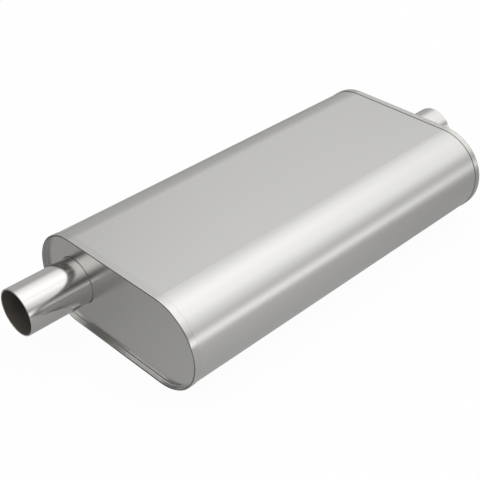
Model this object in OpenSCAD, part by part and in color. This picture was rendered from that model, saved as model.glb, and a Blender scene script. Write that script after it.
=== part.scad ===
// Oval exhaust muffler with an offset inlet neck and a centred outlet neck.
// The origin is the centre of the body. The inlet end faces -Y and the outlet end faces +Y.
// Gas passes the body three times: in by the inlet tube, back by the return tube
// and out by the outlet tube, and it turns round in a chamber at each end.

/* [Body] */
// Width of the body over its outer wrap
body_w = 228.6; // [222:0.1:320]
// Height of the body over its outer wrap
body_h = 101.6; // [92:0.1:106]
// Length of the body from rim to rim
body_l = 444.5; // [420:0.5:700]
// Sheet thickness of the outer wrap
wrap_t = 0.8; // [0.6:0.1:1.2]
// Sheet thickness of the inner wrap
liner_t = 0.8; // [0.6:0.1:1.2]
// Gap between two sheets that lie on each other
sheet_gap = 0.05; // [0.02:0.01:0.1]

/* [Lock seam] */
// Width of the folded layers of the lengthwise seam
seam_w = 9; // [6:0.5:14]
// Width of the ramp where the sheet dips under the seam
seam_ramp = 3; // [2:0.5:5]
// Length left unfolded at each end of the seam
seam_stop = 12; // [10:1:25]
// Clear width left in the inner wrap on each side of the seam
seam_clear = 1; // [0.5:0.5:4]

/* [End caps] */
// Sheet thickness of an end cap
cap_t = 0.5; // [0.5:0.1:1.2]
// Width of the rolled band round the end of the body
band_w = 7.7; // [5:0.1:12]
// Depth of the cap's face behind the rim
recess = 4.9; // [3.5:0.1:8]
// Inner radius of the bend between the face and the rim's wall
face_bend_r = 1.2; // [0.3:0.1:1.5]
// Inner radius of the bend where the face turns in round the neck
collar_bend_r = 0.7; // [0.3:0.1:2]
// Depth of the collar round the neck
cap_collar = 6; // [4:0.5:10]
// Gap between a cap's face and the end of the inner wrap
liner_end = 0.3; // [0.1:0.1:1]

/* [Necks] */
// Outside diameter of a neck
neck_d = 50.8; // [44:0.1:52]
// Wall of a neck
neck_wall = 1.5; // [1:0.1:2]
// Length of a neck outside the rim
neck_out = 67.5; // [40:0.5:120]
// Chamfer on the edges of a neck
neck_chamfer = 0.3; // [0.1:0.1:0.4]
// Gap between a neck and what it slides into
neck_fit = 0.1; // [0.05:0.05:0.25]

/* [Inner tubes] */
// Outside diameter of an inner tube
tube_d = 50.8; // [44:0.1:52]
// Wall of an inner tube
tube_wall = 1.2; // [0.8:0.1:1.5]
// Distance from a neck's weld to the widened end
bell_clear = 1.8; // [0.5:0.1:4]
// Length of the widened end that takes a neck
bell_l = 14; // [8:1:18]
// Length of the cone between the widened end and the tube
cone_l = 6; // [4:1:10]
// Length of tube that stands past a chamber's baffle
tube_end = 1.5; // [1:0.5:4]
// Gap between a tube and the collar that carries it
tube_fit = 0.1; // [0.05:0.05:0.2]

/* [Perforation] */
// Diameter of a hole in a tube's wall
hole_d = 9; // [5:0.5:11]
// Distance from one ring of holes to the next
ring_pitch = 19; // [14:1:30]
// Number of holes in a ring
ring_holes = 8; // [4:1:10]
// Length left plain at each end of a compartment
plain_l = 18; // [15:1:24]

/* [Baffles] */
// Sheet thickness of a baffle
baffle_t = 1; // [0.8:0.1:1.5]
// Inner radius of a baffle's bends
baffle_bend_r = 1; // [0.5:0.1:2]
// Length of the flange that bears on the inner wrap
flange_l = 11; // [8:0.5:16]
// Depth of the collars round the tubes
baffle_collar = 6; // [4:0.5:9]
// Length of the chamber at each end of the body
chamber_l = 70; // [66:1:90]
// Length of the middle compartment with the packing
packed_l = 100; // [80:1:120]
// Diameter of the bleed holes through a baffle
bleed_d = 8; // [5:0.5:9]
// Height of the bleed holes above and below the middle
bleed_rise = 37; // [36.5:0.5:40]
// Gap left above the lock seam, which also drains water
drain_gap = 2; // [1:0.5:4]

/* [Flow directors] */
// Sheet thickness of a flow director
vane_t = 1; // [0.8:0.1:1.5]
// Height of a flow director
vane_h = 64; // [56:0.5:66]
// Gap between a tube and a flow director beside it
vane_fit = 1.5; // [1:0.1:2.5]
// Length of the feet that are spot welded to the baffle
foot_l = 6; // [4:0.5:7]
// Height of the feet
foot_h = 40; // [20:1:50]
// Depth of the front flow director
front_vane_depth = 56; // [46:1:62]
// Outer radius of the front flow director's corners
front_vane_r = 45; // [20:1:45]
// Depth of the rear flow director
rear_vane_depth = 37; // [30:1:40]
// Outer radius of the rear flow director's corners
rear_vane_r = 30; // [15:1:30]

/* [Packing and welds] */
// Gap left round the packing
packing_gap = 0.3; // [0.2:0.1:0.5]
// Leg of a weld bead
weld_leg = 2.2; // [1.5:0.1:3]

/* [Hidden] */
$fn = 96;

// The section is a rectangle with two half circles, and the side tubes stand on their centres
flat_w = body_w - body_h;
side_x = flat_w / 2;
inlet_x = -side_x;
return_x = side_x;
outlet_x = 0;

// Half heights of the sheets' outer faces, from the outside in
wrap_r = body_h / 2;
liner_r = wrap_r - wrap_t - sheet_gap;
inside_r = liner_r - liner_t;
baffle_r = inside_r - sheet_gap;

// Heights along the flow, counted from the inlet's rim
crown_r = wrap_t / 2 + sheet_gap + cap_t;
cap_back = recess + cap_t;
front_z = cap_back + chamber_l;
rear_z = body_l - front_z;
packed_z0 = (body_l - packed_l) / 2;
packed_z1 = body_l - packed_z0;
rim_wall_r = liner_r - cap_t;

// Sizes that follow from a neck's and a tube's fit
neck_hole_r = neck_d / 2 + neck_fit;
tube_hole_r = tube_d / 2 + tube_fit;
bell_z = recess + cap_collar + weld_leg + bell_clear;
neck_end = bell_z + bell_l;

// The lock seam has four layers of sheet, with a half ring where each sheet folds back
seam_step = wrap_t + sheet_gap;
seam_depth = 3 * seam_step + wrap_t;
fold_r = seam_step - wrap_t / 2;
fold_x = seam_w / 2 + fold_r + wrap_t;
ramp_x = fold_x + seam_ramp;
seam_slot = 2 * (ramp_x + seam_clear);

// Reach of anything that is cut right through a sheet
through = 2 * body_h;

steel = "silver";
inner_steel = "darkgray";
weld_steel = "dimgray";
fibre = "wheat";

// Lays the flow, drawn along Z, down along Y, with the body's middle at the origin
module lay() {
    rotate([-90, 0, 0]) translate([0, 0, -body_l / 2]) children();
}

// Turns a piece drawn for the inlet end round, so that it stands at the outlet end
module at_outlet() {
    translate([0, 0, body_l]) mirror([0, 0, 1]) children();
}

// Outline of the body's section at a given half height
module oval(r) {
    square([flat_w, 2 * r], center = true);
    for (side = [-1, 1]) translate([side * side_x, 0]) circle(r);
}

// Sweeps a profile, drawn as half height and flow, once round the section
module around_oval() {
    for (side = [0, 1]) mirror([0, side, 0])
        rotate([90, 0, 90]) linear_extrude(flat_w, center = true) children();
    for (side = [0, 1]) mirror([side, 0, 0]) translate([side_x, 0, 0])
        rotate([0, 0, -90]) rotate_extrude(angle = 180) children();
}

// A quarter of a ring, in the quadrant that sx and sy name, as a sheet's bend is
module bend(r, t, sx, sy) {
    intersection() {
        difference() {
            circle(r + t);
            circle(r);
        }
        translate([sx < 0 ? -r - t : 0, sy < 0 ? -r - t : 0]) square(r + t);
    }
}

// Collar that a sheet of thickness t forms where it turns along the flow round a hole
module collar(hole_r, t, bend_r, depth) {
    rotate_extrude() {
        translate([hole_r + t + bend_r, t + bend_r]) bend(bend_r, t, -1, -1);
        translate([hole_r, t + bend_r]) square([t, depth - t - bend_r]);
    }
}

// Fillet bead on the end of a collar, round the pipe in the collar's hole of radius r
module bead(r) {
    rotate_extrude() translate([r, 0]) intersection() {
        circle(weld_leg);
        square(weld_leg);
    }
}

// Rectangle from x0 to x1 in the seam's layer that lies n sheets deep
module layer(x0, x1, n) {
    translate([x0, n * seam_step]) square([x1 - x0, wrap_t]);
}

// Half ring at x that folds the sheet back over layer n, to the left or right
module fold(x, n, side) {
    translate([x, n * seam_step + wrap_t / 2]) difference() {
        circle(fold_r + wrap_t);
        circle(fold_r);
        translate([side < 0 ? 0 : -seam_w, -seam_w / 2]) square(seam_w);
    }
}

// Folded layers of the lock seam, drawn with their depth below the outer face along y
module seam_section() {
    half = seam_w / 2;
    // the sheet that comes from the right folds round the other sheet's hook
    layer(-half, half, 0);
    fold(-half, 1, -1);
    layer(-half, half - seam_step, 2);
    // the sheet that comes from the left dips, runs underneath and folds back up
    polygon([
        [-ramp_x, 0], [-ramp_x, wrap_t], [-fold_x, seam_depth],
        [half, seam_depth], [half, seam_depth - wrap_t], [-fold_x, seam_depth - wrap_t]
    ]);
    fold(half, 2, 1);
    layer(seam_step - half, half, 1);
}

// Outer wrap: one sheet round the body, hooked together along the underside
module outer_wrap() {
    seam_l = body_l - 2 * seam_stop;
    color(steel) lay() {
        difference() {
            translate([0, 0, crown_r]) linear_extrude(body_l - 2 * crown_r) difference() {
                oval(wrap_r);
                oval(wrap_r - wrap_t);
            }
            translate([-ramp_x, 0, seam_stop]) cube([ramp_x + seam_w / 2, through, seam_l]);
        }
        translate([0, wrap_r, seam_stop]) linear_extrude(seam_l) mirror([0, 1]) seam_section();
    }
}

// Inner wrap: a lining sheet, open along the underside to clear the lock seam
module inner_wrap() {
    liner_z = cap_back + liner_end;
    color(inner_steel) lay() translate([0, 0, liner_z])
        linear_extrude(body_l - 2 * liner_z) difference() {
            oval(liner_r);
            oval(inside_r);
            translate([-seam_slot / 2, 0]) square([seam_slot, through]);
        }
}

// End cap with its neck's hole at x: rolled rim, recessed face and turned-in collar
module end_cap(x) {
    collar_r = neck_hole_r + cap_t + collar_bend_r;
    around_oval() {
        translate([wrap_r - wrap_t / 2, crown_r]) difference() {
            circle(crown_r);
            circle(crown_r - cap_t);
            translate([-crown_r, 0]) square(2 * crown_r);
        }
        translate([wrap_r + sheet_gap, crown_r]) square([cap_t, band_w - crown_r]);
        translate([rim_wall_r, crown_r]) square([cap_t, recess - face_bend_r - crown_r]);
        translate([rim_wall_r - face_bend_r, recess - face_bend_r])
            bend(face_bend_r, cap_t, 1, 1);
    }
    translate([0, 0, recess]) linear_extrude(cap_t) difference() {
        oval(rim_wall_r - face_bend_r);
        translate([x, 0]) circle(collar_r);
    }
    translate([x, 0, recess]) collar(neck_hole_r, cap_t, collar_bend_r, cap_collar);
}

module inlet_end_cap() {
    color(steel) lay() end_cap(inlet_x);
}

module outlet_end_cap() {
    color(steel) lay() at_outlet() end_cap(outlet_x);
}

// Neck at x: a plain pipe with chamfered ends
module neck(x) {
    r1 = neck_d / 2;
    r0 = r1 - neck_wall;
    l = neck_out + neck_end;
    c = neck_chamfer;
    translate([x, 0, -neck_out]) rotate_extrude() polygon([
        [r0 + c, 0], [r1 - c, 0], [r1, c], [r1, l - c],
        [r1 - c, l], [r0 + c, l], [r0, l - c], [r0, c]
    ]);
}

module inlet_neck() {
    color(steel) lay() neck(inlet_x);
}

module outlet_neck() {
    color(steel) lay() at_outlet() neck(outlet_x);
}

// Bead between a neck and the end of its cap's collar
module neck_weld(x) {
    translate([x, 0, recess + cap_collar]) bead(neck_hole_r);
}

module inlet_neck_weld() {
    color(weld_steel) lay() neck_weld(inlet_x);
}

module outlet_neck_weld() {
    color(weld_steel) lay() at_outlet() neck_weld(outlet_x);
}

// Tube from its widened end, which takes a neck, to the far chamber
module belled_tube() {
    r1 = tube_d / 2;
    bell_r = neck_d / 2 + neck_fit;
    z1 = neck_end + neck_fit;
    z2 = z1 + cone_l;
    z3 = rear_z + tube_end;
    rotate_extrude() polygon([
        [bell_r, bell_z], [bell_r + tube_wall, bell_z], [bell_r + tube_wall, z1], [r1, z2],
        [r1, z3], [r1 - tube_wall, z3], [r1 - tube_wall, z2], [bell_r, z1]
    ]);
}

// Rings of holes through a tube's wall, between two heights along the flow
module perforation(z0, z1) {
    rings = floor((z1 - z0 - 2 * plain_l) / ring_pitch);
    start = (z0 + z1 - rings * ring_pitch) / 2;
    for (i = [0 : rings], k = [0 : ring_holes - 1])
        rotate([0, 0, (k + (i % 2) / 2) * 360 / ring_holes])
            translate([tube_d / 2 - 2 * tube_wall, 0, start + i * ring_pitch])
                rotate([0, 90, 0]) cylinder(d = hole_d, h = 3 * tube_wall);
}

// Inlet tube: perforated ahead of the packing and inside it
module inlet_tube() {
    color(inner_steel) lay() translate([inlet_x, 0, 0]) difference() {
        belled_tube();
        perforation(front_z, packed_z0);
        perforation(packed_z0, packed_z1);
    }
}

// Return tube: perforated inside the packing only
module return_tube() {
    r1 = tube_d / 2;
    z0 = front_z - tube_end;
    color(inner_steel) lay() translate([return_x, 0, 0]) difference() {
        translate([0, 0, z0]) linear_extrude(body_l - 2 * z0) difference() {
            circle(r1);
            circle(r1 - tube_wall);
        }
        perforation(packed_z0, packed_z1);
    }
}

// Outlet tube: perforated inside the packing and after it
module outlet_tube() {
    color(inner_steel) lay() at_outlet() translate([outlet_x, 0, 0]) difference() {
        belled_tube();
        perforation(front_z, packed_z0);
        perforation(packed_z0, packed_z1);
    }
}

// Flanged plate with a collar round each tube, drawn from its plate along the flow
module baffle() {
    plate_r = baffle_r - baffle_t - baffle_bend_r;
    collar_r = tube_hole_r + baffle_t + baffle_bend_r;
    notch_y = wrap_r - seam_depth - drain_gap;
    difference() {
        union() {
            around_oval() {
                translate([plate_r, baffle_t + baffle_bend_r])
                    bend(baffle_bend_r, baffle_t, 1, -1);
                translate([baffle_r - baffle_t, baffle_t + baffle_bend_r])
                    square([baffle_t, flange_l - baffle_t - baffle_bend_r]);
            }
            linear_extrude(baffle_t) difference() {
                oval(plate_r);
                for (x = [inlet_x, outlet_x, return_x]) translate([x, 0]) circle(collar_r);
            }
            for (x = [inlet_x, outlet_x, return_x]) translate([x, 0, 0])
                collar(tube_hole_r, baffle_t, baffle_bend_r, baffle_collar);
        }
        translate([-seam_slot / 2, notch_y, -flange_l]) cube([seam_slot, through, 3 * flange_l]);
        bleed_holes();
    }
}

// Bleed holes above and below the gaps between the tubes
module bleed_holes() {
    for (x = [-side_x / 2, side_x / 2], y = [-bleed_rise, bleed_rise])
        translate([x, y, -baffle_t]) cylinder(d = bleed_d, h = 3 * baffle_t);
}

module front_baffle() {
    color(inner_steel) lay() translate([0, 0, front_z]) baffle();
}

module front_support_baffle() {
    color(inner_steel) lay() translate([0, 0, packed_z0]) mirror([0, 0, 1]) baffle();
}

module rear_support_baffle() {
    color(inner_steel) lay() at_outlet() translate([0, 0, packed_z0]) mirror([0, 0, 1]) baffle();
}

module rear_baffle() {
    color(inner_steel) lay() at_outlet() translate([0, 0, front_z]) baffle();
}

// Beads between the tubes and the ends of a chamber baffle's collars
module baffle_welds() {
    for (x = [inlet_x, outlet_x, return_x])
        translate([x, 0, front_z + baffle_collar]) bead(tube_hole_r);
}

module front_baffle_welds() {
    color(weld_steel) lay() baffle_welds();
}

module rear_baffle_welds() {
    color(weld_steel) lay() at_outlet() baffle_welds();
}

// Outline of a flow director of a given half width, depth and corner radius
module trough(half, depth, r) {
    translate([-half, 0]) square([2 * half, depth - r]);
    translate([r - half, 0]) square([2 * (half - r), depth]);
    for (side = [-1, 1]) translate([side * (half - r), depth - r]) circle(r);
}

// Flow director between two tubes' mouths at x0 and x1, with its feet at height zero
module flow_director(x0, x1, depth, r) {
    half = (x1 - x0 + tube_d) / 2 + vane_fit;
    translate([(x0 + x1) / 2, 0, 0]) rotate([90, 0, 0]) {
        linear_extrude(vane_h, center = true) difference() {
            trough(half + vane_t, depth, r);
            trough(half, depth - vane_t, r - vane_t);
            translate([-through, -2 * through]) square(2 * through);
        }
        for (side = [0, 1]) mirror([side, 0, 0]) linear_extrude(foot_h, center = true)
            translate([half, 0]) square([vane_t + foot_l, vane_t]);
    }
}

// Turns the gas from the return tube into the outlet tube
module front_flow_director() {
    color(inner_steel) lay() translate([0, 0, front_z]) mirror([0, 0, 1])
        flow_director(outlet_x, return_x, front_vane_depth, front_vane_r);
}

// Turns the gas from the inlet tube into the return tube, and lets the outlet tube through
module rear_flow_director() {
    color(inner_steel) lay() translate([0, 0, rear_z]) difference() {
        flow_director(inlet_x, return_x, rear_vane_depth, rear_vane_r);
        translate([outlet_x, 0, 0]) cylinder(r = tube_d / 2 + vane_fit, h = 2 * rear_vane_depth);
    }
}

// Glass fibre that fills the middle compartment round the tubes
module fibre_packing() {
    fibre_l = packed_l - 2 * packing_gap;
    color(fibre) lay() translate([0, 0, packed_z0 + packing_gap])
        linear_extrude(fibre_l) difference() {
            oval(inside_r - packing_gap);
            for (x = [inlet_x, outlet_x, return_x]) translate([x, 0])
                circle(tube_d / 2 + packing_gap);
            translate([-seam_slot / 2, wrap_r - seam_depth - drain_gap])
                square([seam_slot, through]);
        }
}

outer_wrap();
inner_wrap();
inlet_end_cap();
outlet_end_cap();
inlet_neck();
outlet_neck();
inlet_neck_weld();
outlet_neck_weld();
inlet_tube();
return_tube();
outlet_tube();
front_baffle();
front_support_baffle();
rear_support_baffle();
rear_baffle();
front_baffle_welds();
rear_baffle_welds();
front_flow_director();
rear_flow_director();
fibre_packing();
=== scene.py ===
"""Looks of an oval exhaust muffler: steel finishes, a plain pale studio and the camera.

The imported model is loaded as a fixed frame, and each operator gives one group of its pieces a finish.
"""

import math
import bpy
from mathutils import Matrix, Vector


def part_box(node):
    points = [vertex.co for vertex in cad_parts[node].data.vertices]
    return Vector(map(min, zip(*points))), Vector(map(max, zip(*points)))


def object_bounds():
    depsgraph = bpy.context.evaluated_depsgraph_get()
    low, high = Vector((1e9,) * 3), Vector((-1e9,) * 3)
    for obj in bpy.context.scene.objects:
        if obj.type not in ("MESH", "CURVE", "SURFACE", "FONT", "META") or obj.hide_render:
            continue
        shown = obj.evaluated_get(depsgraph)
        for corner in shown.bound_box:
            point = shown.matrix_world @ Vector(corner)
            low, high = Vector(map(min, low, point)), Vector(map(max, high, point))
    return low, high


bl_info = {
    "name": "Oval Muffler Finishes",
    "version": (1, 0, 0),
    "blender": (4, 5, 0),
    "location": "View3D > Sidebar > Muffler",
    "description": "Gives the steel pieces of an oval exhaust muffler their finishes and sets up a studio",
    "category": "Material",
}

import bpy
from mathutils import Vector

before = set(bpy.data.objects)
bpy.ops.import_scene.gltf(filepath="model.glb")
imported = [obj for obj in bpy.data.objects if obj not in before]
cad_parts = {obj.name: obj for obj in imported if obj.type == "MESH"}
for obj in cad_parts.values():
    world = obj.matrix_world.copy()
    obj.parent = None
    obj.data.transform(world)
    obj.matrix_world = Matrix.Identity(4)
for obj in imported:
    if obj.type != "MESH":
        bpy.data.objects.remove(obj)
CAD_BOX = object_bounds()

# Places that the finishes need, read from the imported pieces
INLET_LOW, INLET_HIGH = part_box("inlet_neck")
OUTLET_LOW, OUTLET_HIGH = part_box("outlet_neck")
CAP_LOW, CAP_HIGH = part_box("inlet_end_cap")
RIM_Y = -CAP_LOW.y
INLET_AXIS_X = (INLET_LOW.x + INLET_HIGH.x) / 2
OUTLET_AXIS_X = (OUTLET_LOW.x + OUTLET_HIGH.x) / 2
NECK_RADIUS = (INLET_HIGH.x - INLET_LOW.x) / 2
TUBE_PITCH = OUTLET_AXIS_X - INLET_AXIS_X
CAP_RADIUS = CAP_HIGH.z
CAP_FLAT_HALF = CAP_HIGH.x - CAP_RADIUS

# Factors on the place that draw the grain out along X and Z, along Y, or along Z
GRAIN_ROUND = (0.05, 1.0, 0.05)
GRAIN_ALONG = (1.0, 0.05, 1.0)
GRAIN_UPRIGHT = (1.0, 1.0, 0.05)

# Noise features in a metre: gaps in worn edges, wipes, patches of the painted shade in crevices and in bores,
# wobble and tint of beads
WEAR_GAPS = 900.0
WIPES = 90.0
CREVICE_SHADE_PATCHES = 70.0
BORE_SHADE_PATCHES = 160.0
BEAD_WOBBLE = 220.0
BEAD_TINTS = 60.0
# Factors on the place that draw wipes out along the body
WIPE_STRETCH = (1.0, 0.18, 1.0)

# Shares by which lines, specks and clouds lighten or darken the steel
LINE_TONE = 0.010
SPECK_TONE = 0.004
CLOUD_TONE = 0.015
# What lines, wipes, worn edges, the crevices with painted shade and the bores with painted shade add to the
# roughness
LINE_BLUR = 0.01
WIPE_BLUR = 0.015
WORN_BLUR = -0.06
CREVICE_BLUR = 0.2
BORE_SHADE_BLUR = 0.35
# Height of the specks as a share of the lines' height
SPECK_HEIGHT = 0.6
# Colour of worn, burnished edges and of the painted highlight on the rims' inner walls, and of the painted
# shade in the rims' corners, as a share of the plain colour
WORN_AND_HIGHLIGHT = 1.25
CORNER_SHADE = 0.85
# How much of the burnished colour worn edges show, and how much of the painted shade colour the crevices and
# the rims' lower lips show
WORN_SHARE = 0.5
CREVICE_SHARE = 0.72
LIP_SHARE = 0.85
# Grey of the painted shade in the crevices and on the rims' lower lips
PAINTED_SHADE_GREY = (0.05, 0.05, 0.05, 1.0)
WHITE = (1.0, 1.0, 1.0, 1.0)
# Painted shade in a bore: its two colours, and how much metal it hides
BORE_SHADE_DARK = (0.11, 0.10, 0.085, 1.0)
BORE_SHADE_LIGHT = (0.19, 0.175, 0.15, 1.0)
BORE_SHADE_COVER = 0.6
# Heat tints of a weld bead
STRAW = (0.42, 0.33, 0.20, 1.0)
BLUE = (0.20, 0.23, 0.34, 1.0)
# Height of a bead's scales, in metres, and the roughness of their lowest places and what height adds
SCALE_HEIGHT = 0.00025
BEAD_ROUGHNESS = 0.30
BEAD_BLUR = 0.12
# Fibre packing: stretch, number in a metre and strength of its strands, and its lumps in a metre
STRAND_STRETCH = (1.0, 0.12, 1.0)
STRANDS = 1400.0
STRAND_SHARE = 1.2
FIBRE_LUMPS = 120.0
# Colour of its hollows as a share of the plain colour, which is painted shade, its roughness and what lumps
# add, its height in metres
FIBRE_HOLLOW_SHADE = 0.62
FIBRE_ROUGHNESS = 0.82
FIBRE_BLUR = 0.15
FIBRE_HEIGHT = 0.0012

# Film width of the camera in millimetres, and the nearest and farthest things that it sees, in metres
FILM_WIDTH = 36.0
CLIP_NEAR = 0.05
CLIP_FAR = 200.0


# Node helpers

def put(socket, value):
    """Link a socket, or set a plain value, on an input."""
    if isinstance(value, bpy.types.NodeSocket):
        socket.id_data.links.new(value, socket)
    elif value is not None:
        socket.default_value = value


def math_node(tree, operation, a, b=None, c=None):
    """One Math node; its output."""
    made = tree.nodes.new("ShaderNodeMath")
    made.operation = operation
    for socket, value in zip(made.inputs, (a, b, c)):
        put(socket, value)
    return made.outputs[0]


def vector_node(tree, operation, a, b=None, scale=None):
    """One Vector Math node; its vector output, or the value for a dot product or length."""
    made = tree.nodes.new("ShaderNodeVectorMath")
    made.operation = operation
    put(made.inputs[0], a)
    put(made.inputs[1], b)
    if scale is not None:
        put(made.inputs["Scale"], scale)
    return made.outputs["Value" if operation in {"DOT_PRODUCT", "LENGTH"} else "Vector"]


def range_node(tree, value, low, high, to_low=0.0, to_high=1.0, smooth=True):
    """One Map Range node; its output."""
    made = tree.nodes.new("ShaderNodeMapRange")
    made.interpolation_type = "SMOOTHSTEP" if smooth else "LINEAR"
    for socket, number in zip(made.inputs, (value, low, high, to_low, to_high)):
        put(socket, number)
    return made.outputs[0]


def blend_colors(tree, share, a, b):
    """One colour Mix node; its output."""
    made = tree.nodes.new("ShaderNodeMix")
    made.data_type = "RGBA"
    put(made.inputs[0], share)
    put(made.inputs[6], a)
    put(made.inputs[7], b)
    return made.outputs[2]


def noise_node(tree, vector, scale, detail=2.0, rough=0.5):
    """One Noise node; its value."""
    made = tree.nodes.new("ShaderNodeTexNoise")
    put(made.inputs["Vector"], vector)
    put(made.inputs["Scale"], scale)
    put(made.inputs["Detail"], detail)
    put(made.inputs["Roughness"], rough)
    return made.outputs[0]


def bump_node(tree, height, distance):
    """One Bump node; its normal."""
    made = tree.nodes.new("ShaderNodeBump")
    put(made.inputs["Distance"], distance)
    put(made.inputs["Height"], height)
    return made.outputs[0]


def split_node(tree, vector):
    """One Separate XYZ node; its X, Y and Z outputs."""
    made = tree.nodes.new("ShaderNodeSeparateXYZ")
    put(made.inputs[0], vector)
    return made.outputs


def radius_node(tree, a, b):
    """Distance from the origin of a point with two coordinates."""
    squares = math_node(tree, "ADD", math_node(tree, "POWER", a, 2.0), math_node(tree, "POWER", b, 2.0))
    return math_node(tree, "SQRT", squares)


def place_node(tree):
    """The place on the piece, in metres."""
    return tree.nodes.new("ShaderNodeTexCoord").outputs["Object"]


def start_group(name, inputs, outputs):
    """An empty shader node group with named sockets; the tree, its input node and its output node."""
    tree = bpy.data.node_groups.new(name, "ShaderNodeTree")
    for socket_name, kind, value in inputs:
        socket = tree.interface.new_socket(name=socket_name, in_out="INPUT", socket_type=kind)
        if value is not None:
            socket.default_value = value
    for socket_name, kind in outputs:
        tree.interface.new_socket(name=socket_name, in_out="OUTPUT", socket_type=kind)
    return tree, tree.nodes.new("NodeGroupInput"), tree.nodes.new("NodeGroupOutput")


def use_group(tree, name, **inputs):
    """Place a shared group in a material; its outputs. An input is named with _ for each space."""
    made = tree.nodes.new("ShaderNodeGroup")
    made.node_tree = bpy.data.node_groups[name]
    for key, value in inputs.items():
        put(made.inputs[key.replace("_", " ")], value)
    return made.outputs


def rgba(color):
    """A colour with full alpha."""
    return (*color, 1.0)


# Shared effects

def build_mill_grain():
    """Fine drawn-out lines that rolling leaves in sheet, and specks, both from -0.5 to 0.5."""
    tree, given, result = start_group(
        "Mill Grain",
        [("Place", "NodeSocketVector", None), ("Stretch", "NodeSocketVector", (1.0, 1.0, 1.0)),
         ("Fineness", "NodeSocketFloat", 1000.0)],
        [("Lines", "NodeSocketFloat"), ("Specks", "NodeSocketFloat")],
    )
    drawn = vector_node(tree, "MULTIPLY", given.outputs["Place"], given.outputs["Stretch"])
    lines = noise_node(tree, drawn, given.outputs["Fineness"], detail=3.0, rough=0.6)
    specks = noise_node(tree, given.outputs["Place"], given.outputs["Fineness"], detail=1.0)
    put(result.inputs["Lines"], math_node(tree, "SUBTRACT", lines, 0.5))
    put(result.inputs["Specks"], math_node(tree, "SUBTRACT", specks, 0.5))


def build_edge_wear():
    """A mask that is 1 on sharp outer edges, broken up by a fine noise."""
    tree, given, result = start_group(
        "Edge Wear",
        [("Place", "NodeSocketVector", None), ("Radius", "NodeSocketFloat", 0.001)],
        [("Mask", "NodeSocketFloat")],
    )
    rounded = tree.nodes.new("ShaderNodeBevel")
    rounded.samples = 6
    put(rounded.inputs["Radius"], given.outputs["Radius"])
    flat = tree.nodes.new("ShaderNodeNewGeometry")
    # On an edge the rounded normal turns away from the flat one
    agree = vector_node(tree, "DOT_PRODUCT", rounded.outputs[0], flat.outputs["Normal"])
    edge = range_node(tree, agree, 0.985, 0.86)
    broken = range_node(tree, noise_node(tree, given.outputs["Place"], WEAR_GAPS), 0.35, 0.6)
    put(result.inputs["Mask"], math_node(tree, "MULTIPLY", edge, broken))


def build_handling():
    """Slow clouds and finer wipes, as on sheet that was handled and wiped, both from -0.5 to 0.5."""
    tree, given, result = start_group(
        "Handling Clouds",
        [("Place", "NodeSocketVector", None), ("Scale", "NodeSocketFloat", 14.0)],
        [("Clouds", "NodeSocketFloat"), ("Wipes", "NodeSocketFloat")],
    )
    clouds = noise_node(tree, given.outputs["Place"], given.outputs["Scale"], detail=3.0)
    put(result.inputs["Clouds"], math_node(tree, "SUBTRACT", clouds, 0.5))
    drawn = vector_node(tree, "MULTIPLY", given.outputs["Place"], WIPE_STRETCH)
    wipes = noise_node(tree, drawn, WIPES, detail=4.0)
    put(result.inputs["Wipes"], math_node(tree, "SUBTRACT", wipes, 0.5))


def build_bore_shade():
    """A mask that is 1 on the wall of a neck's bore, where shade is painted, and 0 outside."""
    tree, given, result = start_group(
        "Bore Shade",
        [("Place", "NodeSocketVector", None), ("Axis X", "NodeSocketFloat", 0.0),
         ("Bore Radius", "NodeSocketFloat", 0.024)],
        [("Inside", "NodeSocketFloat")],
    )
    x, _, z = split_node(tree, given.outputs["Place"])
    across = math_node(tree, "SUBTRACT", x, given.outputs["Axis X"])
    edge = math_node(tree, "SUBTRACT", radius_node(tree, across, z), given.outputs["Bore Radius"])
    put(result.inputs["Inside"], range_node(tree, edge, 0.0002, 0.00005))


def build_seam_line():
    """A mask for painted shade: 1 beyond Edge Y and just before it, broken up by a slow noise, and 0 further
    in.
    """
    tree, given, result = start_group(
        "Seam Line",
        [("Place", "NodeSocketVector", None), ("Edge Y", "NodeSocketFloat", 0.2145),
         ("Width", "NodeSocketFloat", 0.0006)],
        [("Mask", "NodeSocketFloat")],
    )
    y = split_node(tree, given.outputs["Place"])[1]
    short = math_node(tree, "SUBTRACT", given.outputs["Edge Y"], math_node(tree, "ABSOLUTE", y))
    near = range_node(tree, math_node(tree, "DIVIDE", short, given.outputs["Width"]), 1.0, 0.4)
    noise = noise_node(tree, given.outputs["Place"], CREVICE_SHADE_PATCHES, detail=3.0)
    patchy = range_node(tree, noise, 0.2, 0.6, 0.75, 1.0)
    put(result.inputs["Mask"], math_node(tree, "MULTIPLY", near, patchy))


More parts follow.
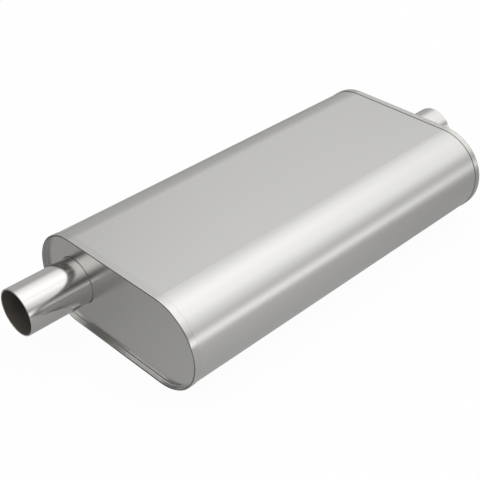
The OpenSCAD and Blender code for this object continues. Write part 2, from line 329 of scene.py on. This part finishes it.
def build_rim_zones():
    """Masks of an end cap's rolled rim: inner wall with a painted highlight, corner at its foot with painted
    shade, lower lip with painted shade.
    """
    tree, given, result = start_group(
        "Rim Zones",
        [("Place", "NodeSocketVector", None), ("Rim Y", "NodeSocketFloat", 0.22225),
         ("Flat Half", "NodeSocketFloat", 0.0635), ("Outer Radius", "NodeSocketFloat", 0.05135),
         ("Recess", "NodeSocketFloat", 0.0049), ("Bend", "NodeSocketFloat", 0.0012),
         ("Rim Thickness", "NodeSocketFloat", 0.0019)],
        [("Wall", "NodeSocketFloat"), ("Corner", "NodeSocketFloat"), ("Lip", "NodeSocketFloat")],
    )
    x, y, z = split_node(tree, given.outputs["Place"])

    # The rim's inner half: how far in from the outer face, in rim thicknesses
    across = math_node(tree, "SUBTRACT", math_node(tree, "ABSOLUTE", x), given.outputs["Flat Half"])
    radius = radius_node(tree, math_node(tree, "MAXIMUM", across, 0.0), z)
    inside = math_node(tree, "SUBTRACT", given.outputs["Outer Radius"], radius)
    inside = math_node(tree, "DIVIDE", inside, given.outputs["Rim Thickness"])
    inner = range_node(tree, inside, 0.5, 0.8)

    # Wall and foot: how far in front of the cap's flat, in bend radii
    back = math_node(tree, "SUBTRACT", given.outputs["Rim Y"], math_node(tree, "ABSOLUTE", y))
    above = math_node(tree, "SUBTRACT", given.outputs["Recess"], back)
    above = math_node(tree, "DIVIDE", above, given.outputs["Bend"])
    wall = range_node(tree, above, 0.8, 1.2)
    foot = range_node(tree, above, 0.02, 0.2)
    foot = math_node(tree, "MULTIPLY", foot, math_node(tree, "SUBTRACT", 1.0, wall))
    put(result.inputs["Wall"], math_node(tree, "MULTIPLY", wall, inner))
    put(result.inputs["Corner"], math_node(tree, "MULTIPLY", foot, inner))

    # Lip: the front of the rim, on its low flat run, from just before the middle towards +X
    front = range_node(tree, math_node(tree, "DIVIDE", back, given.outputs["Rim Thickness"]), 0.46, 0.30)
    fall = math_node(tree, "DIVIDE", z, given.outputs["Outer Radius"])
    low = range_node(tree, fall, -0.857, -0.954)
    side = math_node(tree, "DIVIDE", x, given.outputs["Flat Half"])
    low = math_node(tree, "MULTIPLY", low, range_node(tree, side, -0.315, 0.157))
    put(result.inputs["Lip"], math_node(tree, "MULTIPLY", front, low))


def build_bead_ripple():
    """Scales of a weld bead that runs round a tube, and its patchy tint, both from 0 to 1."""
    tree, given, result = start_group(
        "Bead Ripple",
        [("Place", "NodeSocketVector", None), ("Pitch", "NodeSocketFloat", 0.0635),
         ("Scales", "NodeSocketFloat", 110.0)],
        [("Ripple", "NodeSocketFloat"), ("Tint", "NodeSocketFloat")],
    )
    x, _, z = split_node(tree, given.outputs["Place"])
    # The tube's axis nearest to the place
    nearest = math_node(tree, "ROUND", math_node(tree, "DIVIDE", x, given.outputs["Pitch"]))
    across = math_node(tree, "SUBTRACT", x, math_node(tree, "MULTIPLY", nearest, given.outputs["Pitch"]))
    angle = math_node(tree, "ARCTAN2", z, across)
    wobble = noise_node(tree, given.outputs["Place"], BEAD_WOBBLE)
    wobble = math_node(tree, "MULTIPLY", wobble, 4.0)
    wave = math_node(tree, "SINE", math_node(tree, "MULTIPLY_ADD", angle, given.outputs["Scales"], wobble))
    put(result.inputs["Ripple"], math_node(tree, "MULTIPLY_ADD", wave, 0.5, 0.5))
    put(result.inputs["Tint"], noise_node(tree, given.outputs["Place"], BEAD_TINTS))


# Finishes

def start_material(name):
    """A material with only its shader and output; the material, its tree and the shader."""
    material = bpy.data.materials.new(name)
    material.use_nodes = True
    tree = material.node_tree
    tree.nodes.clear()
    shader = tree.nodes.new("ShaderNodeBsdfPrincipled")
    output = tree.nodes.new("ShaderNodeOutputMaterial")
    tree.links.new(shader.outputs[0], output.inputs[0])
    return material, tree, shader


def steel_finish(name, color, roughness, stretch, fineness, relief,
                 worn=None, bore=None, seam=None, rim=None):
    """Satin steel sheet or pipe with rolling grain and clouds.

    worn is the width of bright worn edges. bore, seam and rim hold the inputs of the groups
    Bore Shade, Seam Line and Rim Zones, which paint shade and, on the rims, a highlight; each is left out
    where it is None.
    """
    material, tree, shader = start_material(name)
    place = place_node(tree)
    grain = use_group(tree, "Mill Grain", Place=place, Stretch=stretch, Fineness=fineness)
    cloud = use_group(tree, "Handling Clouds", Place=place)
    tone = math_node(tree, "MULTIPLY_ADD", grain["Lines"], LINE_TONE, 1.0)
    tone = math_node(tree, "MULTIPLY_ADD", grain["Specks"], SPECK_TONE, tone)
    tone = math_node(tree, "MULTIPLY_ADD", cloud["Clouds"], CLOUD_TONE, tone)
    tint = vector_node(tree, "SCALE", tuple(color), scale=tone)
    # Colour of worn edges, also used for the painted highlight on the rims' inner walls
    bright = rgba(min(1.0, channel * WORN_AND_HIGHLIGHT) for channel in color)
    rough = math_node(tree, "MULTIPLY_ADD", cloud["Wipes"], WIPE_BLUR, roughness)
    rough = math_node(tree, "MULTIPLY_ADD", grain["Lines"], LINE_BLUR, rough)
    metal = 1.0
    if worn is not None:
        edge = use_group(tree, "Edge Wear", Place=place, Radius=worn)["Mask"]
        tint = blend_colors(tree, math_node(tree, "MULTIPLY", edge, WORN_SHARE), tint, bright)
        rough = math_node(tree, "MULTIPLY_ADD", edge, WORN_BLUR, rough)
    # Rims: a painted highlight on their inner walls, painted shade in the corners at their foot and on their
    # lower lips
    if rim is not None:
        zones = use_group(tree, "Rim Zones", Place=place, **rim)
        tint = blend_colors(tree, zones["Wall"], tint, bright)
        tint = blend_colors(tree, zones["Corner"], tint, rgba(channel * CORNER_SHADE for channel in color))
        tint = blend_colors(tree, math_node(tree, "MULTIPLY", zones["Lip"], LIP_SHARE), tint, PAINTED_SHADE_GREY)
    # Painted shade: a dark line on the wrap along each band's edge, and on the caps along the rims' front
    if seam is not None:
        crevice = use_group(tree, "Seam Line", Place=place, **seam)["Mask"]
        tint = blend_colors(tree, math_node(tree, "MULTIPLY", crevice, CREVICE_SHARE), tint, PAINTED_SHADE_GREY)
        rough = math_node(tree, "MULTIPLY_ADD", crevice, CREVICE_BLUR, rough)
    # Painted shade in the bore: dark patches that also hide some of the metal
    if bore is not None:
        inside = use_group(tree, "Bore Shade", Place=place, **bore)["Inside"]
        painted_bore_shade = blend_colors(tree, noise_node(tree, place, BORE_SHADE_PATCHES, detail=4.0), BORE_SHADE_DARK, BORE_SHADE_LIGHT)
        tint = blend_colors(tree, inside, tint, painted_bore_shade)
        rough = math_node(tree, "MULTIPLY_ADD", inside, BORE_SHADE_BLUR, rough)
        metal = math_node(tree, "MULTIPLY_ADD", inside, -BORE_SHADE_COVER, 1.0)
    put(shader.inputs["Base Color"], tint)
    put(shader.inputs["Roughness"], rough)
    put(shader.inputs["Metallic"], metal)
    specks = math_node(tree, "MULTIPLY", grain["Specks"], SPECK_HEIGHT)
    height = math_node(tree, "ADD", grain["Lines"], specks)
    put(shader.inputs["Normal"], bump_node(tree, height, relief))
    return material


def weld_finish(name, color):
    """Weld bead with its scales and a straw to blue tint."""
    material, tree, shader = start_material(name)
    place = place_node(tree)
    ripple = use_group(tree, "Bead Ripple", Place=place, Pitch=TUBE_PITCH)
    tint = blend_colors(tree, range_node(tree, ripple["Tint"], 0.35, 0.65), rgba(color), STRAW)
    tint = blend_colors(tree, range_node(tree, ripple["Tint"], 0.55, 0.75), tint, BLUE)
    put(shader.inputs["Base Color"], tint)
    put(shader.inputs["Metallic"], 1.0)
    rough = math_node(tree, "MULTIPLY_ADD", ripple["Ripple"], BEAD_BLUR, BEAD_ROUGHNESS)
    put(shader.inputs["Roughness"], rough)
    put(shader.inputs["Normal"], bump_node(tree, ripple["Ripple"], SCALE_HEIGHT))
    return material


def packing_finish(name, color):
    """Loose glass fibre wool: fine tangled strands and soft lumps, with painted shade in the hollows between
    them.
    """
    material, tree, shader = start_material(name)
    place = place_node(tree)
    strands = use_group(tree, "Mill Grain", Place=place, Stretch=STRAND_STRETCH, Fineness=STRANDS)
    lumps = noise_node(tree, place, FIBRE_LUMPS, detail=4.0)
    # Darker where strands and lumps are low, as the bump is: painted shade in the hollows
    dark = rgba(channel * FIBRE_HOLLOW_SHADE for channel in color)
    share = math_node(tree, "MULTIPLY_ADD", strands["Lines"], STRAND_SHARE, lumps)
    tint = blend_colors(tree, range_node(tree, share, 0.2, 0.8), dark, rgba(color))
    put(shader.inputs["Base Color"], tint)
    put(shader.inputs["Roughness"], math_node(tree, "MULTIPLY_ADD", lumps, FIBRE_BLUR, FIBRE_ROUGHNESS))
    height = math_node(tree, "ADD", lumps, strands["Lines"])
    put(shader.inputs["Normal"], bump_node(tree, height, FIBRE_HEIGHT))
    return material


def dress(names, material):
    """Give CAD pieces one finish."""
    for name in names:
        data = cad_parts[name].data
        data.materials.clear()
        data.materials.append(material)


# Settings

class MufflerFinishSettings(bpy.types.PropertyGroup):
    """Colours and surface values of the muffler's pieces."""

    shell_color: bpy.props.FloatVectorProperty(
        name="Shell colour", description="Colour that the outer wrap reflects",
        subtype="COLOR", size=3, min=0.0, max=1.0, default=(0.592, 0.586, 0.573))
    shell_roughness: bpy.props.FloatProperty(
        name="Shell roughness", description="Satin blur of the outer wrap",
        subtype="FACTOR", min=0.0, max=1.0, default=0.27)
    cap_color: bpy.props.FloatVectorProperty(
        name="Cap colour", description="Colour that the end caps reflect",
        subtype="COLOR", size=3, min=0.0, max=1.0, default=(0.571, 0.565, 0.549))
    cap_roughness: bpy.props.FloatProperty(
        name="Cap roughness", description="Satin blur of the end caps",
        subtype="FACTOR", min=0.0, max=1.0, default=0.21)
    neck_color: bpy.props.FloatVectorProperty(
        name="Neck colour", description="Colour that the two necks reflect",
        subtype="COLOR", size=3, min=0.0, max=1.0, default=(0.625, 0.617, 0.603))
    neck_roughness: bpy.props.FloatProperty(
        name="Neck roughness", description="Satin blur of the necks",
        subtype="FACTOR", min=0.0, max=1.0, default=0.13)
    inner_color: bpy.props.FloatVectorProperty(
        name="Inner sheet colour", description="Colour of the pieces inside the shell",
        subtype="COLOR", size=3, min=0.0, max=1.0, default=(0.47, 0.465, 0.455))
    plate_roughness: bpy.props.FloatProperty(
        name="Plate roughness", description="Satin blur of the inner wrap, baffles and flow directors",
        subtype="FACTOR", min=0.0, max=1.0, default=0.36)
    tube_roughness: bpy.props.FloatProperty(
        name="Tube roughness", description="Satin blur of the inner tubes",
        subtype="FACTOR", min=0.0, max=1.0, default=0.38)
    weld_color: bpy.props.FloatVectorProperty(
        name="Weld colour", description="Colour of the weld beads before they tint",
        subtype="COLOR", size=3, min=0.0, max=1.0, default=(0.38, 0.37, 0.36))
    fibre_color: bpy.props.FloatVectorProperty(
        name="Fibre colour", description="Colour of the glass fibre packing",
        subtype="COLOR", size=3, min=0.0, max=1.0, default=(0.78, 0.72, 0.55))
    grain_fineness: bpy.props.FloatProperty(
        name="Grain fineness", description="Grain features in a metre across the rolling direction",
        min=100.0, max=5000.0, default=1500.0)
    grain_relief: bpy.props.FloatProperty(
        name="Grain relief", description="Height of the rolling grain",
        unit="LENGTH", subtype="DISTANCE", min=0.0, max=0.0005, default=0.00000003)
    worn_edge: bpy.props.FloatProperty(
        name="Worn edge", description="Width of the bright wear along edges",
        unit="LENGTH", subtype="DISTANCE", min=0.0, max=0.01, default=0.0006)
    band_width: bpy.props.FloatProperty(
        name="Band width", description="Width of the rolled bands; the wrap has a crevice along their edges",
        unit="LENGTH", subtype="DISTANCE", min=0.0, max=0.05, default=0.0077)
    # The dark line along a band's edge is painted shade
    crevice_width: bpy.props.FloatProperty(
        name="Crevice width", description="Width of the dark line on the wrap along a band's edge",
        unit="LENGTH", subtype="DISTANCE", min=0.0001, max=0.005, default=0.0007)
    # The rims' dark line at their front is painted shade
    rim_line: bpy.props.FloatProperty(
        name="Rim line", description="How far back from the rims' front their dark line reaches",
        unit="LENGTH", subtype="DISTANCE", min=0.0001, max=0.005, default=0.00055)
    # The brighter inner side of the rims is a painted highlight
    rim_thickness: bpy.props.FloatProperty(
        name="Rim thickness", description="Thickness of the rolled rims, whose inner side is burnished",
        unit="LENGTH", subtype="DISTANCE", min=0.0001, max=0.01, default=0.0019)
    recess_depth: bpy.props.FloatProperty(
        name="Recess depth", description="How far the flat of a cap lies behind its rim",
        unit="LENGTH", subtype="DISTANCE", min=0.0, max=0.05, default=0.0049)
    # The darker corner between a cap's flat and its rim is painted shade
    corner_radius: bpy.props.FloatProperty(
        name="Corner radius", description="Bend between a cap's flat and its rim, which is dull",
        unit="LENGTH", subtype="DISTANCE", min=0.0001, max=0.01, default=0.0012)
    # The darker bore inside the neck wall is painted shade
    neck_wall: bpy.props.FloatProperty(
        name="Neck wall", description="Wall thickness of the necks, inside which the bore is dull",
        unit="LENGTH", subtype="DISTANCE", min=0.0, max=0.01, default=0.0015)


class MufflerStudioSettings(bpy.types.PropertyGroup):
    """Floor, light and camera."""

    floor_color: bpy.props.FloatVectorProperty(
        name="Floor colour", description="Colour of the pale floor",
        subtype="COLOR", size=3, min=0.0, max=1.0, default=(0.80, 0.80, 0.80))
    floor_size: bpy.props.FloatProperty(
        name="Floor size", description="Side of the square floor",
        unit="LENGTH", subtype="DISTANCE", min=1.0, max=200.0, default=80.0)
    floor_white: bpy.props.FloatProperty(
        name="Floor white", description="Share of plain white in the floor that the camera sees",
        subtype="FACTOR", min=0.0, max=1.0, default=0.96)
    mirrored_floor: bpy.props.FloatProperty(
        name="Mirrored floor", description="Share of even, shadowless paper in the floor that metal shows",
        subtype="FACTOR", min=0.0, max=1.0, default=0.85)
    mirrored_level: bpy.props.FloatProperty(
        name="Mirrored level", description="Brightness of that even paper",
        subtype="FACTOR", min=0.0, max=1.0, default=0.36)
    mirrored_white: bpy.props.FloatProperty(
        name="Mirrored white", description="Share of plain white in the studio that metal and glass show",
        subtype="FACTOR", min=0.0, max=1.0, default=0.10)
    backdrop_level: bpy.props.FloatProperty(
        name="Backdrop level", description="Brightness of the studio's wall beyond the outlet end",
        min=0.0, max=10.0, default=0.522)
    near_wall_level: bpy.props.FloatProperty(
        name="Near wall level", description="Brightness of the studio's other walls",
        min=0.0, max=10.0, default=0.11)
    camera_place: bpy.props.FloatVectorProperty(
        name="Camera place", description="Where the camera stands",
        unit="LENGTH", subtype="TRANSLATION", size=3, default=(0.61309, -0.66391, 0.61059))
    camera_azimuth: bpy.props.FloatProperty(
        name="Camera azimuth", description="Side from which the camera looks, 0 from the inlet end",
        unit="ROTATION", subtype="ANGLE", default=math.radians(45.0))
    camera_elevation: bpy.props.FloatProperty(
        name="Camera elevation", description="Height of the camera above the horizon as an angle",
        unit="ROTATION", subtype="ANGLE", default=math.radians(35.264))
    focal_length: bpy.props.FloatProperty(
        name="Focal length", description="Focal length on a 36 mm wide sensor, in millimetres",
        min=10.0, max=300.0, default=75.315)


# Softboxes of the studio: azimuth from +Y towards +X, elevation, full and outer half angle, level added.
# All angles of the lights are in degrees.
# The last one takes light away, which leaves a dimmer patch right above.
SOFTBOXES = (
    (180.0, 81.7, 11.0, 60.0, 1.42),
    (-38.2, 37.5, 4.0, 20.3, 0.41),
    (4.7, 34.8, 3.0, 34.3, 0.78),
    (49.2, 39.3, 1.0, 23.0, 0.61),
    (182.0, 19.0, 2.0, 30.0, 0.50),
    (0.0, 90.0, 3.0, 24.0, -0.85),
)
# Low strip lights at the right: azimuth, half width, elevation, half height, level added
STRIPS = (
    (75.0, 49.7, 3.8, 15.6, 1.40),
    (121.0, 31.0, 4.0, 20.0, 0.72),
)
# Where the walls turn from the near to the far level, as the Y of the way to them
WALL_TURN = (-0.24, -0.12)
# Pools of light on the floor, as metal shows it: centre X and Y, full and outer radius, level added
POOLS = (
    (0.42, -0.14, 0.10, 0.65, 0.23),
    (-0.38, -0.08, 0.10, 0.35, 0.15),
    (2.05, 1.43, 0.80, 2.20, 0.40),
)


def direction(azimuth, elevation):
    """Unit vector for an azimuth from +Y towards +X and an elevation, in degrees."""
    a, e = math.radians(azimuth), math.radians(elevation)
    return Vector((math.sin(a) * math.cos(e), math.cos(a) * math.cos(e), math.sin(e)))


class MUFFLER_OT_shared_effects(bpy.types.Operator):
    """Build the shader groups that several finishes share"""

    bl_idname = "muffler.shared_effects"
    bl_label = "Shared effects"

    def execute(self, context):
        build_mill_grain()
        build_edge_wear()
        build_handling()
        build_bore_shade()
        build_seam_line()
        build_rim_zones()
        build_bead_ripple()
        return {"FINISHED"}


class MUFFLER_OT_outer_wrap(bpy.types.Operator):
    """Give the outer wrap its satin rolled finish"""

    bl_idname = "muffler.outer_wrap"
    bl_label = "Outer wrap"

    def execute(self, context):
        s = context.scene.muffler_finish
        # The seam mask paints a line of shade on the wrap along each band's edge
        dress(["outer_wrap"], steel_finish(
            "shell_satin", s.shell_color, s.shell_roughness, GRAIN_ROUND,
            s.grain_fineness, s.grain_relief,
            seam={"Edge_Y": RIM_Y - s.band_width, "Width": s.crevice_width}))
        return {"FINISHED"}


class MUFFLER_OT_end_caps(bpy.types.Operator):
    """Give the two pressed end caps their finish"""

    bl_idname = "muffler.end_caps"
    bl_label = "End caps"

    def execute(self, context):
        s = context.scene.muffler_finish
        rim = {
            "Rim_Y": RIM_Y,
            "Flat_Half": CAP_FLAT_HALF,
            "Outer_Radius": CAP_RADIUS,
            "Recess": s.recess_depth,
            "Bend": s.corner_radius,
            "Rim_Thickness": s.rim_thickness,
        }
        # The seam mask paints a line of shade along the rims' front; the rim masks paint a highlight on their
        # inner walls and shade in their corners and on their lower lips
        dress(["inlet_end_cap", "outlet_end_cap"], steel_finish(
            "cap_satin", s.cap_color, s.cap_roughness, GRAIN_UPRIGHT,
            s.grain_fineness, s.grain_relief, s.worn_edge,
            seam={"Edge_Y": RIM_Y, "Width": s.rim_line}, rim=rim))
        return {"FINISHED"}


class MUFFLER_OT_necks(bpy.types.Operator):
    """Give the two necks their finish, with painted shade in the bore"""

    bl_idname = "muffler.necks"
    bl_label = "Necks"

    def execute(self, context):
        s = context.scene.muffler_finish
        for name, axis_x in (("inlet_neck", INLET_AXIS_X), ("outlet_neck", OUTLET_AXIS_X)):
            dress([name], steel_finish(
                name + "_satin", s.neck_color, s.neck_roughness, GRAIN_ALONG,
                s.grain_fineness, s.grain_relief, s.worn_edge,
                bore={"Axis_X": axis_x, "Bore_Radius": NECK_RADIUS - s.neck_wall}))
        return {"FINISHED"}


class MUFFLER_OT_inner_sheets(bpy.types.Operator):
    """Give the inner wrap, baffles, flow directors and tubes a duller sheet finish"""

    bl_idname = "muffler.inner_sheets"
    bl_label = "Inner sheets"

    def execute(self, context):
        s = context.scene.muffler_finish
        plates = [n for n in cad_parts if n.endswith(("inner_wrap", "_baffle", "_flow_director"))]
        dress(plates, steel_finish(
            "inner_plate", s.inner_color, s.plate_roughness, GRAIN_ROUND,
            s.grain_fineness, s.grain_relief, s.worn_edge))
        tubes = [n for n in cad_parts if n.endswith("_tube")]
        dress(tubes, steel_finish(
            "inner_tube", s.inner_color, s.tube_roughness, GRAIN_ALONG,
            s.grain_fineness, s.grain_relief, s.worn_edge))
        return {"FINISHED"}


class MUFFLER_OT_welds(bpy.types.Operator):
    """Give the weld beads their scales and tint"""

    bl_idname = "muffler.welds"
    bl_label = "Weld beads"

    def execute(self, context):
        beads = [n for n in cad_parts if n.endswith(("_weld", "_welds"))]
        dress(beads, weld_finish("weld_bead", context.scene.muffler_finish.weld_color))
        return {"FINISHED"}


class MUFFLER_OT_packing(bpy.types.Operator):
    """Give the fibre packing its wool"""

    bl_idname = "muffler.packing"
    bl_label = "Fibre packing"

    def execute(self, context):
        dress(["fibre_packing"], packing_finish("glass_wool", context.scene.muffler_finish.fibre_color))
        return {"FINISHED"}


class MUFFLER_OT_studio(bpy.types.Operator):
    """Set up the pale floor, the soft studio light and the camera"""

    bl_idname = "muffler.studio"
    bl_label = "Studio"

    def execute(self, context):
        s = context.scene.muffler_studio
        self.build_floor(context, s)
        self.build_world(context, s)
        self.build_camera(context, s)
        context.scene.view_settings.view_transform = "Standard"
        return {"FINISHED"}

    def seen_white(self, tree, camera_share, mirrored_share):
        """Share of plain white by the kind of ray."""
        path = tree.nodes.new("ShaderNodeLightPath").outputs
        mirrored = math_node(tree, "MAXIMUM", path["Is Glossy Ray"], path["Is Transmission Ray"])
        mirrored = math_node(tree, "MULTIPLY", mirrored, mirrored_share)
        seen = math_node(tree, "MULTIPLY", path["Is Camera Ray"], camera_share)
        return math_node(tree, "MAXIMUM", seen, mirrored)

    def build_floor(self, context, s):
        """One large pale square just under the muffler, which keeps a soft shadow."""
        half = s.floor_size / 2
        level = CAD_BOX[0].z
        mesh = bpy.data.meshes.new("floor")
        mesh.from_pydata(
            [(-half, -half, level), (half, -half, level), (half, half, level), (-half, half, level)],
            [], [(0, 1, 2, 3)])
        floor = bpy.data.objects.new("floor", mesh)
        context.scene.collection.objects.link(floor)
        material = bpy.data.materials.new("floor_paper")
        material.use_nodes = True
        tree = material.node_tree
        tree.nodes.clear()
        paper = tree.nodes.new("ShaderNodeBsdfDiffuse")
        put(paper.inputs["Color"], rgba(s.floor_color))
        white = tree.nodes.new("ShaderNodeEmission")
        camera_ray = tree.nodes.new("ShaderNodeLightPath").outputs["Is Camera Ray"]
        place = tree.nodes.new("ShaderNodeNewGeometry").outputs["Position"]
        mirrored = s.mirrored_level
        for x, y, full, outer, added in POOLS:
            away = vector_node(tree, "LENGTH", vector_node(tree, "SUBTRACT", place, (x, y, level)))
            glow = range_node(tree, away, outer, full)
            mirrored = math_node(tree, "MULTIPLY_ADD", glow, added, mirrored)
        strength = range_node(tree, camera_ray, 0.0, 1.0, mirrored, 1.0, smooth=False)
        put(white.inputs["Strength"], strength)
        both = tree.nodes.new("ShaderNodeMixShader")
        put(both.inputs[0], self.seen_white(tree, s.floor_white, s.mirrored_floor))
        put(both.inputs[1], paper.outputs[0])
        put(both.inputs[2], white.outputs[0])
        output = tree.nodes.new("ShaderNodeOutputMaterial")
        put(output.inputs[0], both.outputs[0])
        mesh.materials.append(material)

    def build_world(self, context, s):
        """Grey walls with wide soft lights and low strips; plain white to the camera."""
        world = bpy.data.worlds.new("studio")
        context.scene.world = world
        world.use_nodes = True
        tree = world.node_tree
        tree.nodes.clear()
        way = vector_node(tree, "NORMALIZE", tree.nodes.new("ShaderNodeTexCoord").outputs["Generated"])
        _, y, z = split_node(tree, way)
        level = range_node(tree, y, *WALL_TURN, s.near_wall_level, s.backdrop_level)
        for azimuth, elevation, full, outer, added in SOFTBOXES:
            near = vector_node(tree, "DOT_PRODUCT", way, direction(azimuth, elevation))
            glow = range_node(tree, near, math.cos(math.radians(outer)), math.cos(math.radians(full)))
            level = math_node(tree, "MULTIPLY_ADD", glow, added, level)
        for azimuth, width, elevation, height, added in STRIPS:
            rise = math_node(tree, "SUBTRACT", z, math.sin(math.radians(elevation)))
            rise = math_node(tree, "ABSOLUTE", rise)
            band = range_node(tree, rise, math.sin(math.radians(height)), 0.0)
            near = vector_node(tree, "DOT_PRODUCT", way, direction(azimuth, 0.0))
            window = range_node(tree, near, math.cos(math.radians(width)), 1.0)
            glow = math_node(tree, "MULTIPLY", band, window)
            level = math_node(tree, "MULTIPLY_ADD", glow, added, level)
        studio = tree.nodes.new("ShaderNodeBackground")
        put(studio.inputs["Strength"], level)
        put(studio.inputs["Color"], WHITE)
        white = tree.nodes.new("ShaderNodeBackground")
        put(white.inputs["Color"], WHITE)
        both = tree.nodes.new("ShaderNodeMixShader")
        put(both.inputs[0], self.seen_white(tree, 1.0, s.mirrored_white))
        put(both.inputs[1], studio.outputs[0])
        put(both.inputs[2], white.outputs[0])
        output = tree.nodes.new("ShaderNodeOutputWorld")
        put(output.inputs[0], both.outputs[0])

    def build_camera(self, context, s):
        """The photo's viewing angle."""
        data = bpy.data.cameras.new("camera")
        data.sensor_width = FILM_WIDTH
        data.lens = s.focal_length
        data.clip_start = CLIP_NEAR
        data.clip_end = CLIP_FAR
        camera = bpy.data.objects.new("camera", data)
        context.scene.collection.objects.link(camera)
        a, e = s.camera_azimuth, s.camera_elevation
        back = Vector((math.sin(a) * math.cos(e), -math.cos(a) * math.cos(e), math.sin(e)))
        camera.location = s.camera_place
        camera.rotation_mode = "QUATERNION"
        camera.rotation_quaternion = (-back).to_track_quat("-Z", "Y")
        context.scene.camera = camera


class MUFFLER_PT_panel(bpy.types.Panel):
    """Lists the muffler's finishes and the studio"""

    bl_label = "Muffler"
    bl_idname = "MUFFLER_PT_panel"
    bl_space_type = "VIEW_3D"
    bl_region_type = "UI"
    bl_category = "Muffler"

    def draw(self, context):
        column = self.layout.column()
        for operator in STEPS:
            column.operator(operator.bl_idname)
        for settings in (context.scene.muffler_finish, context.scene.muffler_studio):
            for name in settings.bl_rna.properties.keys():
                if name not in {"rna_type", "name"}:
                    column.prop(settings, name)


STEPS = (
    MUFFLER_OT_shared_effects,
    MUFFLER_OT_outer_wrap,
    MUFFLER_OT_end_caps,
    MUFFLER_OT_necks,
    MUFFLER_OT_inner_sheets,
    MUFFLER_OT_welds,
    MUFFLER_OT_packing,
    MUFFLER_OT_studio,
)
CLASSES = (MufflerFinishSettings, MufflerStudioSettings, *STEPS, MUFFLER_PT_panel)


def register():
    """Register the classes and hang the settings on the scene."""
    for item in CLASSES:
        bpy.utils.register_class(item)
    bpy.types.Scene.muffler_finish = bpy.props.PointerProperty(type=MufflerFinishSettings)
    bpy.types.Scene.muffler_studio = bpy.props.PointerProperty(type=MufflerStudioSettings)


def unregister():
    """Take back what register() did."""
    del bpy.types.Scene.muffler_studio
    del bpy.types.Scene.muffler_finish
    for item in reversed(CLASSES):
        bpy.utils.unregister_class(item)


def main():
    """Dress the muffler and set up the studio."""
    register()
    for step in STEPS:
        group, name = step.bl_idname.split(".")
        getattr(getattr(bpy.ops, group), name)()


if __name__ == "__main__":
    main()
